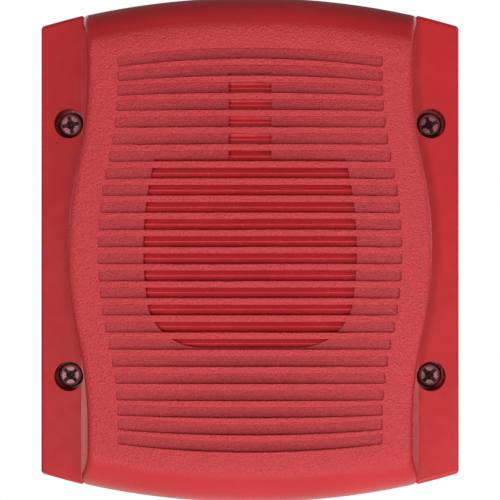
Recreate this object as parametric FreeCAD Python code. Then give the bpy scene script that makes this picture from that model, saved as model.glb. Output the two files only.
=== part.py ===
import FreeCAD, Part
import math
import os

# Wall-mounted fire alarm horn.
# Millimetres. +Z is up and the front faces -Y. The origin is the middle of the
# back box's rear face, so the wall is the plane y = 0.

V = FreeCAD.Vector
ORIGIN = V(0, 0, 0)
X_AXIS = V(1, 0, 0)
Y_AXIS = V(0, 1, 0)
Z_AXIS = V(0, 0, 1)

# Outline seen from the front: straight sides, arched top and bottom
WIDTH = 127.0
HEIGHT = 152.4
ARCH_SAG = 8.25
CORNER_R = 1.3
HALF_W = WIDTH / 2
HALF_H = HEIGHT / 2
ARCH_R = (HALF_W ** 2 + ARCH_SAG ** 2) / (2 * ARCH_SAG)
ARCH_CENTRE_Z = HALF_H - ARCH_R

# Depth stations, from the wall towards the room
BOX_WALL = 3.0
BOX_RIM_Y = -48.0
COVER_RIM_Y = -49.5
FLANGE_OUTER_Y = -59.5
FLANGE_INNER_Y = -62.5
FLANGE_INNER_X = 51.0
FACE_Y = -75.0
COVER_INNER_Y = -69.5

# Cover
COVER_WALL = 3.0
CROWN_R = 400.0
ROLL_R = 13.0
SIDE_ROLL_R = 2.5
FLANGE_ROLL_R = 1.25
FLANGE_TUCK = 3.0
CENTRE_HALF_W = 54.5
SIDE_ARC_R = 118.0
SIDE_TURN_Z = 26.3
SIDE_STRAIGHT_Z = 2 * SIDE_TURN_Z
FLARE_R = 14.0
FLARE_Z = 60.0
FLARE_END_Z = 72.0

# Grooves
GROOVE_COUNT = 24
GROOVE_PITCH = 5.075
GROOVE_HEIGHT = 3.1
GROOVE_END_GAP = 9.3
GROOVE_END_R = 0.6
GROOVE_LIP_R = 0.25
GROOVE_END_DEPTH = 0.55
FLOOR_Y = -72.8
FLOOR_FLAT_X = 27.3
ARCHED_GROOVE_SAGS = (1.95, 1.25, 0.6, 0.1)
SAG_HALF_SPAN = 36.0

# Sound window and the louvre insert behind it
WINDOW_TOP_Z = 27.1
WINDOW_BOTTOM_Z = -29.0
WINDOW_TOP_X = 28.4
WINDOW_MID_X = 31.75
WINDOW_LOW_X = 30.4
WINDOW_LOW_Z = -17.0
WINDOW_FLAT_X = 14.6
WINDOW_CORNER = (25.9, -24.5)
SLOT_HALF_W = 6.4
SLOT_TOP_Z = 52.6
POCKET_Y = -71.5
POCKET_GROW = 3.0
INSERT_GROW = 2.7
INSERT_FRONT_Y = -71.3
INSERT_BACK_Y = -68.2
INSERT_OPENING_GROW = 0.8
LOUVRE_ARM = 1.85
LOUVRE_THICK = 1.1
LOUVRE_NOSE_R = 0.4
TIE_X = 12.7
TIE_WIDTH = 1.6
TIE_DEPTH = 1.2
SLOT_PLATE_Y = -70.4
INSERT_EDGE_Y = -69.6
INSERT_CORE_R = 39.4

# Cover screws: pan heads sunk in counterbores near the corners
SCREW_X = 54.9
SCREW_Z = 38.3
COUNTERBORE_R = 4.5
COVER_BOSS_R = 6.3
SCREW_SEAT_Y = -51.8
SCREW_HOLE_R = 2.2
SEALING_WASHER_T = 0.7
SEALING_WASHER_R = 3.9
SCREW_HEAD_R = 3.5
SCREW_HEAD_H = 2.6
SCREW_SHANK_R = 1.45
SCREW_END_Y = -40.5
INSERT_BORE_R = 1.75
INSERT_OUTER_R = 2.6
INSERT_DEPTH = 8.0
CROSS_SPAN = 5.2
CROSS_ARM = 1.15
CROSS_DEPTH = 1.5
SCREWS = {
    "cover_screw_tl": (-1, 1, -12.0),
    "cover_screw_tr": (1, 1, -20.0),
    "cover_screw_bl": (-1, -1, 45.0),
    "cover_screw_br": (1, -1, 45.0),
}

# Back box
BOX_INSET = 0.6
BOX_BOSS_R = 5.5
WALL_HOLE_X = 42.0
WALL_HOLE_Z = 50.0
WALL_HOLE_R = 2.5
CONDUIT_Y = -24.0
CONDUIT_R = 12.56
CONDUIT_BOSS_R = 16.5
CONDUIT_SEAT_Z = 73.6
CONDUIT_INNER_Z = 63.0
KNOCKOUT_R = 11.1
GROUND_X = 34.0
GROUND_Z = -62.0
GROUND_BOSS_R = 4.5
GASKET_OUTER_INSET = 0.9
GASKET_INNER_INSET = 3.4
GASKET_EAR_R = 5.8

# Sounder, stacked along its axis
CLAMP_POST = 34.4
CLAMP_POST_R = 3.2
CLAMP_WASHER_R = 5.6
DRIVER_R = 45.0
GASKET_BACK_Y = -68.3
FLANGE_BACK_Y = -66.8
LEDGE_Y = -65.9
LEDGE_INNER_R = 36.5
LEDGE_OUTER_R = 39.8
PLATE_FRONT_Y = -52.0
PLATE_BACK_Y = -49.0
MAGNET_BACK_Y = -43.0
YOKE_BACK_Y = -40.5
POLE_R = 9.2
PLATE_HOLE_R = 10.9
PLATE_R = 19.0
MAGNET_R = 20.0
BASKET_WINDOW_R = (24.5, 33.5)
BASKET_WINDOW_HALF_W = 7.5
FORMER_R = 9.7
CONE_R = 32.4
DUST_CAP_R = 11.0
DUST_CAP_RISE = 2.4
DUST_CAP_Y = -58.6

# Rear chassis and electronics
POST_X = 38.0
POST_Z = 56.0
POST_R = 3.5
POST_END_Y = -38.5
CHASSIS_BACK_Y = -36.5
CHASSIS_HALF_W = 47.0
CHASSIS_HALF_H = 61.0
VENT_X = 31.0
VENT_HALF_W = 7.0
BOARD_X = 36.0
BOARD_Z = 40.0
STANDOFF_R = 3.2
BOARD_FRONT_Y = -33.0
BOARD_BACK_Y = -31.4
BOARD_HALF_W = 42.0
BOARD_HALF_H = 46.0
PILOT_R = 1.3
SELF_TAPPER_R = 1.25
LEAD_X = 4.0
LEAD_R = 0.8
TERMINAL_Z = -34.0
TERMINAL_BACK_Y = -20.4
TONE_SELECTOR = (20.0, -8.0)
VOLUME_SELECTOR = (-20.0, -8.0)
TONE_RECESS_R = 5.05
VOLUME_RECESS_R = 3.85
SELECTOR_CLEARANCE = 0.05


# Drawing helpers. Plans are drawn in the XZ plane.

def flat(point):
    return V(point[0], 0, point[1])


def path(start, steps):
    """Edges from start; a step is (end,) for a line or (middle, end) for an arc."""
    edges = []
    here = start
    for step in steps:
        end = step[-1]
        if len(step) == 1:
            edges.append(Part.LineSegment(flat(here), flat(end)).toShape())
        else:
            edges.append(Part.Arc(flat(here), flat(step[0]), flat(end)).toShape())
        here = end
    return edges


def two_sided(start, steps, bow=0.0):
    """A closed plan from its right side, mirrored left, its ends bowed outwards."""
    end = steps[-1][-1]
    mirrored = [tuple((-x, z) for x, z in step) for step in steps]
    right = path(start, steps)
    left = path((-start[0], start[1]), mirrored)
    if bow:
        top = path(end, [((0, end[1] + bow), (-end[0], end[1]))])
        bottom = path(start, [((0, start[1] - bow), (-start[0], start[1]))])
    else:
        top = path(end, [((-end[0], end[1]),)])
        bottom = path(start, [((-start[0], start[1]),)])
    return Part.Wire(Part.__sortEdges__(right + top + left + bottom))


def prism(wire, y_back, y_front):
    face = Part.Face(wire)
    face.translate(V(0, y_back, 0))
    return face.extrude(V(0, y_front - y_back, 0))


def box(x0, x1, y0, y1, z0, z1):
    return Part.makeBox(x1 - x0, y1 - y0, z1 - z0, V(x0, y0, z0))


def rod(radius, y0, y1, x=0.0, z=0.0):
    """A cylinder along Y between two depths."""
    low = min(y0, y1)
    return Part.makeCylinder(radius, abs(y1 - y0), V(x, low, z), Y_AXIS)


def ring(outer, inner, y0, y1, x=0.0, z=0.0):
    hole = rod(inner, min(y0, y1) - 1, max(y0, y1) + 1, x, z)
    return rod(outer, y0, y1, x, z).cut(hole)


def turned(profile):
    """Revolve (radius, y) points about the Y axis."""
    points = [V(r, y, 0) for r, y in profile]
    wire = Part.makePolygon(points + [points[0]])
    return Part.Face(wire).revolve(ORIGIN, Y_AXIS, 360)


def joined(shapes):
    result = shapes[0]
    if len(shapes) > 1:
        result = result.multiFuse(shapes[1:])
    return result.removeSplitter()


def upright_edges(shape):
    """Edges that run along Y."""
    found = []
    for edge in shape.Edges:
        if len(edge.Vertexes) == 2:
            a = edge.Vertexes[0].Point
            b = edge.Vertexes[1].Point
            if abs(a.x - b.x) < 1e-6 and abs(a.z - b.z) < 1e-6:
                found.append(edge)
    return found


def four_corners(x, z):
    return [(x, z), (-x, z), (-x, -z), (x, -z)]


# Shared outlines

def arched_plan(inset):
    half = HALF_W - inset
    arch_r = ARCH_R - inset
    shoulder = ARCH_CENTRE_Z + math.sqrt(arch_r ** 2 - half ** 2)
    bow = HALF_H - inset - shoulder
    return two_sided((half, -shoulder), [((half, shoulder),)], bow)


def arched_prism(inset, y_back, y_front):
    solid = prism(arched_plan(inset), y_back, y_front)
    return solid.makeFillet(CORNER_R, upright_edges(solid))


def side_x(z):
    """Half width of the raised centre at height z."""
    z = abs(z)
    reach = math.sqrt(SIDE_ARC_R ** 2 - SIDE_TURN_Z ** 2)
    turn_x = CENTRE_HALF_W - SIDE_ARC_R + reach
    if z <= SIDE_TURN_Z:
        return CENTRE_HALF_W - SIDE_ARC_R + math.sqrt(SIDE_ARC_R ** 2 - z ** 2)
    if z >= SIDE_STRAIGHT_Z:
        return turn_x + reach - SIDE_ARC_R
    return turn_x + reach - math.sqrt(SIDE_ARC_R ** 2 - (SIDE_STRAIGHT_Z - z) ** 2)


def centre_plan(inset):
    """The raised centre: waisted sides that flare out at the top and bottom."""
    straight = side_x(SIDE_STRAIGHT_Z) - inset
    between = (SIDE_TURN_Z + SIDE_STRAIGHT_Z) / 2

    def at(z):
        return (side_x(z) - inset, z)

    def flare(z):
        return straight + FLARE_R - math.sqrt(FLARE_R ** 2 - (abs(z) - FLARE_Z) ** 2)

    middle = (FLARE_Z + FLARE_END_Z) / 2
    steps = [
        ((flare(FLARE_END_Z), -FLARE_END_Z),),
        ((flare(middle), -middle), (straight, -FLARE_Z)),
        (at(-SIDE_STRAIGHT_Z),),
        (at(-between), at(-SIDE_TURN_Z)),
        (at(0), at(SIDE_TURN_Z)),
        (at(between), at(SIDE_STRAIGHT_Z)),
        ((straight, FLARE_Z),),
        ((flare(middle), middle), (flare(FLARE_END_Z), FLARE_END_Z)),
        ((flare(FLARE_END_Z), HALF_H + 5),),
    ]
    return two_sided((flare(FLARE_END_Z), -HALF_H - 5), steps)


def crown_y(x):
    """Depth of the face, which is a very shallow barrel about a vertical axis."""
    return FACE_Y + CROWN_R - math.sqrt(CROWN_R ** 2 - x ** 2)


def flange_wedge(shift):
    """A slab along Z whose front slopes back towards the two sides."""
    far = HALF_W + 5
    slope = (FLANGE_OUTER_Y - FLANGE_INNER_Y) / (HALF_W - FLANGE_INNER_X)
    far_y = FLANGE_OUTER_Y + (far - HALF_W) * slope + shift
    inner_y = FLANGE_INNER_Y + shift
    points = [
        V(far, COVER_RIM_Y, -HALF_H),
        V(far, far_y, -HALF_H),
        V(FLANGE_INNER_X, inner_y, -HALF_H),
        V(-FLANGE_INNER_X, inner_y, -HALF_H),
        V(-far, far_y, -HALF_H),
        V(-far, COVER_RIM_Y, -HALF_H),
    ]
    wire = Part.makePolygon(points + [points[0]])
    return Part.Face(wire).extrude(V(0, 0, HEIGHT))


# Front cover

def rolled_block():
    """The full outline under the crown, rolled over at top and bottom."""
    block = prism(arched_plan(0), COVER_RIM_Y, FACE_Y - 5)
    crown = Part.makeCylinder(CROWN_R, 2 * HEIGHT, V(0, FACE_Y + CROWN_R, -HEIGHT), Z_AXIS)
    block = block.common(crown)
    rims = []
    for edge in block.Edges:
        middle = edge.CenterOfMass
        if middle.y < FACE_Y + 6 and abs(middle.z) > FLARE_Z:
            rims.append(edge)
    return block.makeFillet(ROLL_R, rims)


def raised_centre():
    """The face block cut to its waisted plan, its side edges rounded."""
    centre = rolled_block().common(prism(centre_plan(0), COVER_RIM_Y + 1, FACE_Y - 10))
    sides = []
    for edge in centre.Edges:
        ends = [vertex.Point for vertex in edge.Vertexes]
        middle = edge.valueAt((edge.FirstParameter + edge.LastParameter) / 2)
        rises = abs(ends[0].z - ends[-1].z) > 1.0
        beside = abs(middle.x) > side_x(SIDE_STRAIGHT_Z) - 0.5
        if rises and beside and middle.y < FLANGE_OUTER_Y:
            sides.append(edge)
    return centre.makeFillet(SIDE_ROLL_R, sides)


def side_flanges():
    """The sloping rim beside the raised centre, rolled over at its outer edge."""
    slab = arched_prism(0, COVER_RIM_Y, FACE_Y).common(flange_wedge(0))
    upright = [edge.CenterOfMass for edge in upright_edges(slab)]
    rims = []
    for edge in slab.Edges:
        middle = edge.CenterOfMass
        outer = abs(middle.x) > HALF_W - 2 or abs(middle.z) > FLARE_Z
        stands = min(middle.distanceToPoint(point) for point in upright) < 0.01
        if middle.y < COVER_RIM_Y - 2 and outer and not stands:
            rims.append(edge)
    slab = slab.makeFillet(FLANGE_ROLL_R, rims)
    return slab.cut(prism(centre_plan(FLANGE_TUCK), COVER_RIM_Y + 1, FACE_Y - 10))


def groove_z(index):
    return ((GROOVE_COUNT - 1) / 2 - index) * GROOVE_PITCH


def groove_sag(index):
    """How far a groove's ends fall back from its middle, signed like its height."""
    from_end = min(index, GROOVE_COUNT - 1 - index)
    if from_end >= len(ARCHED_GROOVE_SAGS):
        return 0.0
    return math.copysign(ARCHED_GROOVE_SAGS[from_end], groove_z(index))


def groove(index):
    """A groove whose floor is flat in the middle and rises to the face at both ends."""
    z = groove_z(index)
    half = side_x(z) - GROOVE_END_GAP
    drop = groove_sag(index) * (half / SAG_HALF_SPAN) ** 2
    low = z - GROOVE_HEIGHT / 2
    high = z + GROOVE_HEIGHT / 2
    end_low = low - drop
    end_high = high - drop
    if drop:
        bottom = ((0, low), (half, end_low))
        top = ((0, high), (-half, end_high))
    else:
        bottom = ((half, end_low),)
        top = ((-half, end_high),)
    edges = path((-half, end_low), [bottom, ((half, end_high),), top, ((-half, end_low),)])
    solid = prism(Part.Wire(edges), FLOOR_Y + 3, FACE_Y - 5)
    solid = solid.makeFillet(GROOVE_END_R, upright_edges(solid))
    return solid.common(above_floor(half))


def above_floor(half):
    """Everything in front of the floor of a groove of this half length."""
    front_y = FACE_Y - 6
    end_y = crown_y(half) + GROOVE_END_DEPTH
    points = [
        V(-half, front_y, -HALF_H),
        V(half, front_y, -HALF_H),
        V(half, end_y, -HALF_H),
        V(FLOOR_FLAT_X, FLOOR_Y, -HALF_H),
        V(-FLOOR_FLAT_X, FLOOR_Y, -HALF_H),
        V(-half, end_y, -HALF_H),
    ]
    wire = Part.makePolygon(points + [points[0]])
    return Part.Face(wire).extrude(V(0, 0, HEIGHT))


def groove_opening(index):
    """The slot a groove makes where it crosses the sound window."""
    z = groove_z(index)
    half = WINDOW_MID_X + 1
    low = z - GROOVE_HEIGHT / 2
    return box(-half, half, FACE_Y - 5, COVER_INNER_Y + 2, low, low + GROOVE_HEIGHT)


def lip_edges(shape):
    """Edges of the groove mouths, which lie on the crowned face."""
    found = []
    for edge in shape.Edges:
        on_face = True
        for share in (0.0, 0.31, 0.73, 1.0):
            span = edge.LastParameter - edge.FirstParameter
            point = edge.valueAt(edge.FirstParameter + share * span)
            inside = abs(point.x) < CENTRE_HALF_W - 6 and abs(point.z) < FLARE_Z
            if not inside or abs(point.y - crown_y(point.x)) > 0.02:
                on_face = False
        if on_face:
            found.append(edge)
    return found


def window_plan(grow):
    side = [
        ((WINDOW_MID_X + grow, 0), (WINDOW_TOP_X + grow, WINDOW_TOP_Z + grow)),
    ]
    low_corner = (WINDOW_LOW_X + grow, WINDOW_LOW_Z)
    corner_mid = (WINDOW_CORNER[0] + 0.7 * grow, WINDOW_CORNER[1] - 0.7 * grow)
    steps = [(corner_mid, low_corner)] + side
    return two_sided((WINDOW_FLAT_X, WINDOW_BOTTOM_Z - grow), steps)


def window_prism(grow, y_back, y_front):
    """The barrel-shaped window together with the narrow slot above it."""
    main = prism(window_plan(grow), y_back, y_front)
    half = SLOT_HALF_W + grow
    slot = box(-half, half, y_front, y_back, 0, SLOT_TOP_Z + grow)
    return joined([main, slot])


def cover_cavity():
    floor = arched_prism(COVER_WALL, COVER_RIM_Y + 1, FACE_Y)
    wide = floor.common(flange_wedge(COVER_WALL))
    lead_in = arched_prism(COVER_WALL, COVER_RIM_Y + 1, COVER_RIM_Y - 1)
    deep = arched_prism(COVER_WALL, COVER_RIM_Y + 1, COVER_INNER_Y)
    rims = []
    for edge in deep.Edges:
        middle = edge.CenterOfMass
        if abs(middle.y - COVER_INNER_Y) < 0.01 and abs(middle.z) > FLARE_Z:
            rims.append(edge)
    deep = deep.makeFillet(ROLL_R - 4, rims)
    deep = deep.common(prism(centre_plan(COVER_WALL), COVER_RIM_Y + 2, COVER_INNER_Y - 5))
    return joined([wide, lead_in, deep])


def cover_posts():
    """Moulded posts inside the cover for the chassis and the sounder's clamps."""
    posts = []
    for x, z in four_corners(POST_X, POST_Z):
        posts.append(rod(POST_R, COVER_INNER_Y - 1, POST_END_Y, x, z))
    for x, z in four_corners(CLAMP_POST, CLAMP_POST):
        posts.append(rod(CLAMP_POST_R, COVER_INNER_Y - 1, FLANGE_BACK_Y, x, z))
    return posts


def front_cover():
    outer = joined([raised_centre(), side_flanges()])
    outer = outer.cut(Part.makeCompound([groove(i) for i in range(GROOVE_COUNT)]))
    outer = outer.makeFillet(GROOVE_LIP_R, lip_edges(outer))
    outer = outer.cut(cover_cavity())
    bosses = []
    for x, z in four_corners(SCREW_X, SCREW_Z):
        bosses.append(rod(COVER_BOSS_R, COVER_RIM_Y, FLANGE_OUTER_Y + 1, x, z))
    inside = arched_prism(COVER_WALL - 0.5, COVER_RIM_Y, FACE_Y)
    bosses = [boss.common(inside) for boss in bosses]
    cover = joined([outer] + bosses + cover_posts())
    cover = cover.cut(window_prism(POCKET_GROW, COVER_INNER_Y + 2, POCKET_Y))
    window = window_prism(0, COVER_INNER_Y + 2, FACE_Y - 5)
    slots = [groove_opening(i) for i in range(GROOVE_COUNT)]
    openings = Part.makeCompound(slots).common(window)
    cover = cover.cut(openings)
    holes = []
    for x, z in four_corners(SCREW_X, SCREW_Z):
        holes.append(rod(COUNTERBORE_R, SCREW_SEAT_Y, FACE_Y, x, z))
        holes.append(rod(SCREW_HOLE_R, COVER_RIM_Y + 1, FACE_Y, x, z))
    for x, z in four_corners(POST_X, POST_Z):
        holes.append(rod(PILOT_R, POST_END_Y + 1, POST_END_Y - 11, x, z))
    for x, z in four_corners(CLAMP_POST, CLAMP_POST):
        holes.append(rod(PILOT_R, FLANGE_BACK_Y + 1, FLANGE_BACK_Y - 4.6, x, z))
    return cover.cut(Part.makeCompound(holes))


def louvre(index, half_length):
    """A chevron bar with a rounded nose that points forward, mid-groove."""
    z = groove_z(index)
    nose = INSERT_FRONT_Y
    heel = nose + LOUVRE_ARM
    tangent = LOUVRE_NOSE_R * math.sqrt(0.5)
    round_y = nose + LOUVRE_NOSE_R * (math.sqrt(2) - 1)

    def at(y, offset):
        return V(-half_length, y, z + offset)

    corners = [
        at(nose + tangent, tangent),
        at(heel, LOUVRE_ARM),
        at(heel + LOUVRE_THICK, LOUVRE_ARM),
        at(nose + LOUVRE_THICK * math.sqrt(2), 0),
        at(heel + LOUVRE_THICK, -LOUVRE_ARM),
        at(heel, -LOUVRE_ARM),
        at(nose + tangent, -tangent),
    ]
    edges = [Part.LineSegment(a, b).toShape() for a, b in zip(corners, corners[1:])]
    edges.append(Part.Arc(corners[-1], at(round_y, 0), corners[0]).toShape())
    return Part.Face(Part.Wire(edges)).extrude(V(2 * half_length, 0, 0))


def louvre_insert():
    plate = window_prism(INSERT_GROW, INSERT_BACK_Y, INSERT_FRONT_Y)
    opening = window_prism(INSERT_OPENING_GROW, INSERT_BACK_Y + 1, INSERT_FRONT_Y - 1)
    frame = plate.cut(opening)
    bars = []
    for index in range(GROOVE_COUNT):
        z = groove_z(index)
        if WINDOW_BOTTOM_Z < z < WINDOW_TOP_Z + 2:
            bars.append(louvre(index, WINDOW_MID_X + 3))
        elif WINDOW_TOP_Z < z < SLOT_TOP_Z:
            bars.append(louvre(index, SLOT_HALF_W + 2))
    ties = []
    for x in (-TIE_X, TIE_X):
        left = x - TIE_WIDTH / 2
        front = INSERT_BACK_Y - TIE_DEPTH
        tie = box(left, left + TIE_WIDTH, front, INSERT_BACK_Y, WINDOW_BOTTOM_Z, WINDOW_TOP_Z)
        ties.append(tie)
    inside = window_prism(INSERT_OPENING_GROW + 0.4, INSERT_BACK_Y, INSERT_FRONT_Y)
    bars = [bar.common(inside) for bar in bars + ties]
    insert = joined([frame] + bars)
    rear = box(-HALF_W, HALF_W, INSERT_EDGE_Y, INSERT_BACK_Y + 1, -HALF_H, HALF_H)
    insert = insert.cut(rear.cut(rod(INSERT_CORE_R, FACE_Y, INSERT_BACK_Y + 2)))
    half = SLOT_HALF_W + INSERT_GROW
    tail_z = WINDOW_TOP_Z + INSERT_GROW
    backing = box(-half, half, SLOT_PLATE_Y, INSERT_EDGE_Y, tail_z, SLOT_TOP_Z + INSERT_GROW)
    return joined([insert, backing])


# Cover screws and their seals

def cross_recess(top_y, turn):
    """A cross-shaped cutter, deeper in the middle, sunk from the head's top."""
    half = CROSS_SPAN / 2
    arm = CROSS_ARM / 2
    bars = [
        box(-half, half, top_y - 1, top_y + CROSS_DEPTH * 0.55, -arm, arm),
        box(-arm, arm, top_y - 1, top_y + CROSS_DEPTH * 0.55, -half, half),
        Part.makeCone(arm * 2.4, arm * 0.8, CROSS_DEPTH, V(0, top_y, 0), Y_AXIS),
    ]
    cutter = joined(bars)
    cutter.rotate(ORIGIN, Y_AXIS, turn)
    return cutter


def pan_screw(head_r, head_h, shank_r, length, seat_y, turn=0.0):
    """A pan-head screw at x = z = 0 whose shank runs towards +Y from its seat."""
    head = rod(head_r, seat_y, seat_y - head_h)
    top = [edge for edge in head.Edges if abs(edge.CenterOfMass.y - seat_y + head_h) < 0.01]
    head = head.makeFillet(head_h * 0.45, [edge for edge in top if len(edge.Vertexes) == 1])
    shank = rod(shank_r, seat_y, seat_y + length)
    tip = [e for e in shank.Edges if abs(e.CenterOfMass.y - seat_y - length) < 0.01]
    shank = shank.makeChamfer(shank_r * 0.4, [edge for edge in tip if len(edge.Vertexes) == 1])
    screw = joined([head, shank])
    recess = cross_recess(seat_y - head_h, turn)
    scale = head_r / SCREW_HEAD_R
    if scale != 1:
        grow = FreeCAD.Matrix()
        grow.scale(V(scale, 1, scale))
        recess = recess.transformGeometry(grow)
    return screw.cut(recess)


def cover_screw(side, level, turn):
    seat = SCREW_SEAT_Y - SEALING_WASHER_T
    length = SCREW_END_Y - seat
    screw = pan_screw(SCREW_HEAD_R, SCREW_HEAD_H, SCREW_SHANK_R, length, seat, turn)
    screw.translate(V(side * SCREW_X, 0, level * SCREW_Z))
    return screw


def grouped(shape, places):
    """Copies of one solid at several (x, z) places."""
    copies = []
    for x, z in places:
        copy = shape.copy()
        copy.translate(V(x, 0, z))
        copies.append(copy)
    return Part.makeCompound(copies)


def sealing_washers():
    front = SCREW_SEAT_Y - SEALING_WASHER_T
    washer = ring(SEALING_WASHER_R, SCREW_SHANK_R + 0.1, front, SCREW_SEAT_Y)
    return grouped(washer, four_corners(SCREW_X, SCREW_Z))


def threaded_inserts():
    collar = ring(INSERT_OUTER_R, INSERT_BORE_R, BOX_RIM_Y, BOX_RIM_Y + 2.6)
    waist = ring(INSERT_OUTER_R - 0.35, INSERT_BORE_R, BOX_RIM_Y + 2.6, BOX_RIM_Y + 4.4)
    tail = ring(INSERT_OUTER_R, INSERT_BORE_R, BOX_RIM_Y + 4.4, BOX_RIM_Y + INSERT_DEPTH)
    insert = joined([collar, waist, tail])
    return grouped(insert, four_corners(SCREW_X, SCREW_Z))


# Back box

def conduit_rod(radius, z0, z1):
    return Part.makeCylinder(radius, z1 - z0, V(0, CONDUIT_Y, z0), Z_AXIS)


def back_box():
    outer = arched_prism(BOX_INSET, 0, BOX_RIM_Y)
    inner = arched_prism(BOX_INSET + BOX_WALL, -BOX_WALL, BOX_RIM_Y - 1)
    shell = outer.cut(inner)
    additions = []
    for x, z in four_corners(SCREW_X, SCREW_Z):
        additions.append(rod(BOX_BOSS_R, -BOX_WALL + 1, BOX_RIM_Y, x, z))
    for side in (-1, 1):
        ends = sorted((side * CONDUIT_INNER_Z, side * (CONDUIT_SEAT_Z + 1)))
        additions.append(conduit_rod(CONDUIT_BOSS_R, ends[0], ends[1]))
    additions.append(rod(GROUND_BOSS_R, -BOX_WALL + 1, -9, GROUND_X, GROUND_Z))
    additions = [piece.common(outer) for piece in additions]
    shell = joined([shell] + additions)
    cuts = []
    for x, z in four_corners(SCREW_X, SCREW_Z):
        cuts.append(rod(INSERT_OUTER_R, BOX_RIM_Y - 1, BOX_RIM_Y + INSERT_DEPTH, x, z))
        cuts.append(rod(2.0, BOX_RIM_Y, BOX_RIM_Y + INSERT_DEPTH + 3, x, z))
    for x, z in four_corners(WALL_HOLE_X, WALL_HOLE_Z):
        cuts.append(rod(WALL_HOLE_R, 1, -BOX_WALL - 1, x, z))
    cuts.append(conduit_rod(CONDUIT_R, CONDUIT_INNER_Z - 1, HALF_H + 1))
    cuts.append(conduit_rod(CONDUIT_R, -HALF_H - 1, -CONDUIT_INNER_Z + 1))
    cuts.append(conduit_rod(CONDUIT_BOSS_R - 0.3, CONDUIT_SEAT_Z, HALF_H + 1))
    cuts.append(conduit_rod(CONDUIT_BOSS_R - 0.3, -HALF_H - 1, -CONDUIT_SEAT_Z))
    cuts.append(ring(KNOCKOUT_R + 0.35, KNOCKOUT_R - 0.35, 1, -0.8))
    cuts.append(rod(1.8, -2.5, -10, GROUND_X, GROUND_Z))
    return shell.cut(Part.makeCompound(cuts))


def ground_screw():
    """Hexagonal head with a washer face, set in its boss on the rear wall."""
    hexagon = []
    for corner in range(6):
        angle = math.radians(60 * corner)
        hexagon.append(flat((4.0 * math.cos(angle), 4.0 * math.sin(angle))))
    head = prism(Part.makePolygon(hexagon + [hexagon[0]]), -9.6, -12.2)
    collar = rod(4.3, -9, -9.6)
    shank = rod(1.75, -9, -3.2)
    screw = joined([head, collar, shank])
    slot = box(-5, 5, -13, -11.4, -0.5, 0.5)
    screw = screw.cut(slot)
    screw.translate(V(GROUND_X, 0, GROUND_Z))
    return screw


def cover_gasket():
    band = arched_prism(GASKET_OUTER_INSET, BOX_RIM_Y, COVER_RIM_Y)
    band = band.cut(arched_prism(GASKET_INNER_INSET, BOX_RIM_Y + 1, COVER_RIM_Y - 1))
    ears = []
    for x, z in four_corners(SCREW_X, SCREW_Z):
        ears.append(rod(GASKET_EAR_R, BOX_RIM_Y, COVER_RIM_Y, x, z))
    gasket = joined([band] + ears)
    holes = []
    for x, z in four_corners(SCREW_X, SCREW_Z):
        holes.append(rod(SCREW_HOLE_R, BOX_RIM_Y + 1, COVER_RIM_Y - 1, x, z))
    return gasket.cut(Part.makeCompound(holes))


def conduit_plug():
    head = conduit_rod(14.3, CONDUIT_SEAT_Z + 0.6, HALF_H - 0.5)
    body = conduit_rod(CONDUIT_R - 0.05, CONDUIT_INNER_Z + 0.5, CONDUIT_SEAT_Z + 0.6)
    plug = joined([head, body])
    core = conduit_rod(CONDUIT_R - 3, CONDUIT_INNER_Z, CONDUIT_SEAT_Z - 3.2)
    hexagon = []
    for corner in range(6):
        angle = math.radians(60 * corner)
        x = 6.5 * math.cos(angle)
        hexagon.append(V(x, CONDUIT_Y + 6.5 * math.sin(angle), HALF_H))
    socket = Part.Face(Part.makePolygon(hexagon + [hexagon[0]])).extrude(V(0, 0, -4.0))
    return plug.cut(core).cut(socket)


def conduit_plug_seal():
    disc = conduit_rod(14.3, CONDUIT_SEAT_Z, CONDUIT_SEAT_Z + 0.6)
    return disc.cut(conduit_rod(CONDUIT_R, CONDUIT_SEAT_Z - 1, HALF_H))


# Sounder

def driver_gasket():
    return ring(DRIVER_R, LEDGE_OUTER_R, GASKET_BACK_Y, COVER_INNER_Y)


def driver_basket():
    profile = [
        (DRIVER_R, GASKET_BACK_Y),
        (LEDGE_OUTER_R, GASKET_BACK_Y),
        (LEDGE_OUTER_R, LEDGE_Y),
        (LEDGE_INNER_R, LEDGE_Y),
        (LEDGE_INNER_R, -62.0),
        (21.4, -56.0),
        (21.4, -55.5),
        (18.6, -55.5),
        (18.6, -53.4),
        (12.0, -53.4),
        (12.0, PLATE_FRONT_Y),
        (22.6, PLATE_FRONT_Y),
        (23.5, -54.8),
        (LEDGE_INNER_R + 1.6, -60.9),
        (LEDGE_INNER_R + 1.6, -64.4),
        (41.0, -64.4),
        (41.0, FLANGE_BACK_Y),
        (DRIVER_R, FLANGE_BACK_Y),
    ]
    basket = turned(profile)
    windows = []
    for step in range(6):
        near, far = BASKET_WINDOW_R
        half = BASKET_WINDOW_HALF_W
        window = box(near, far, -66, -50, -half, half)
        window.rotate(ORIGIN, Y_AXIS, 60 * step)
        windows.append(window)
    return basket.cut(Part.makeCompound(windows))


def top_plate():
    return ring(PLATE_R, PLATE_HOLE_R, PLATE_FRONT_Y, PLATE_BACK_Y)


def magnet():
    return ring(MAGNET_R, 13.0, PLATE_BACK_Y, MAGNET_BACK_Y)


def pole_yoke():
    plate = rod(PLATE_R, MAGNET_BACK_Y, YOKE_BACK_Y)
    edge = [e for e in plate.Edges if abs(e.CenterOfMass.y - YOKE_BACK_Y) < 0.01]
    plate = plate.makeChamfer(0.8, [e for e in edge if len(e.Vertexes) == 1])
    return joined([plate, rod(POLE_R, MAGNET_BACK_Y, PLATE_FRONT_Y - 0.5)])


def cone():
    profile = [
        (CONE_R, -66.15),
        (CONE_R, -65.65),
        (FORMER_R + 0.95, -57.1),
        (FORMER_R + 0.25, -56.4),
        (FORMER_R + 0.25, -58.0),
    ]
    return turned(profile)


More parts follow.
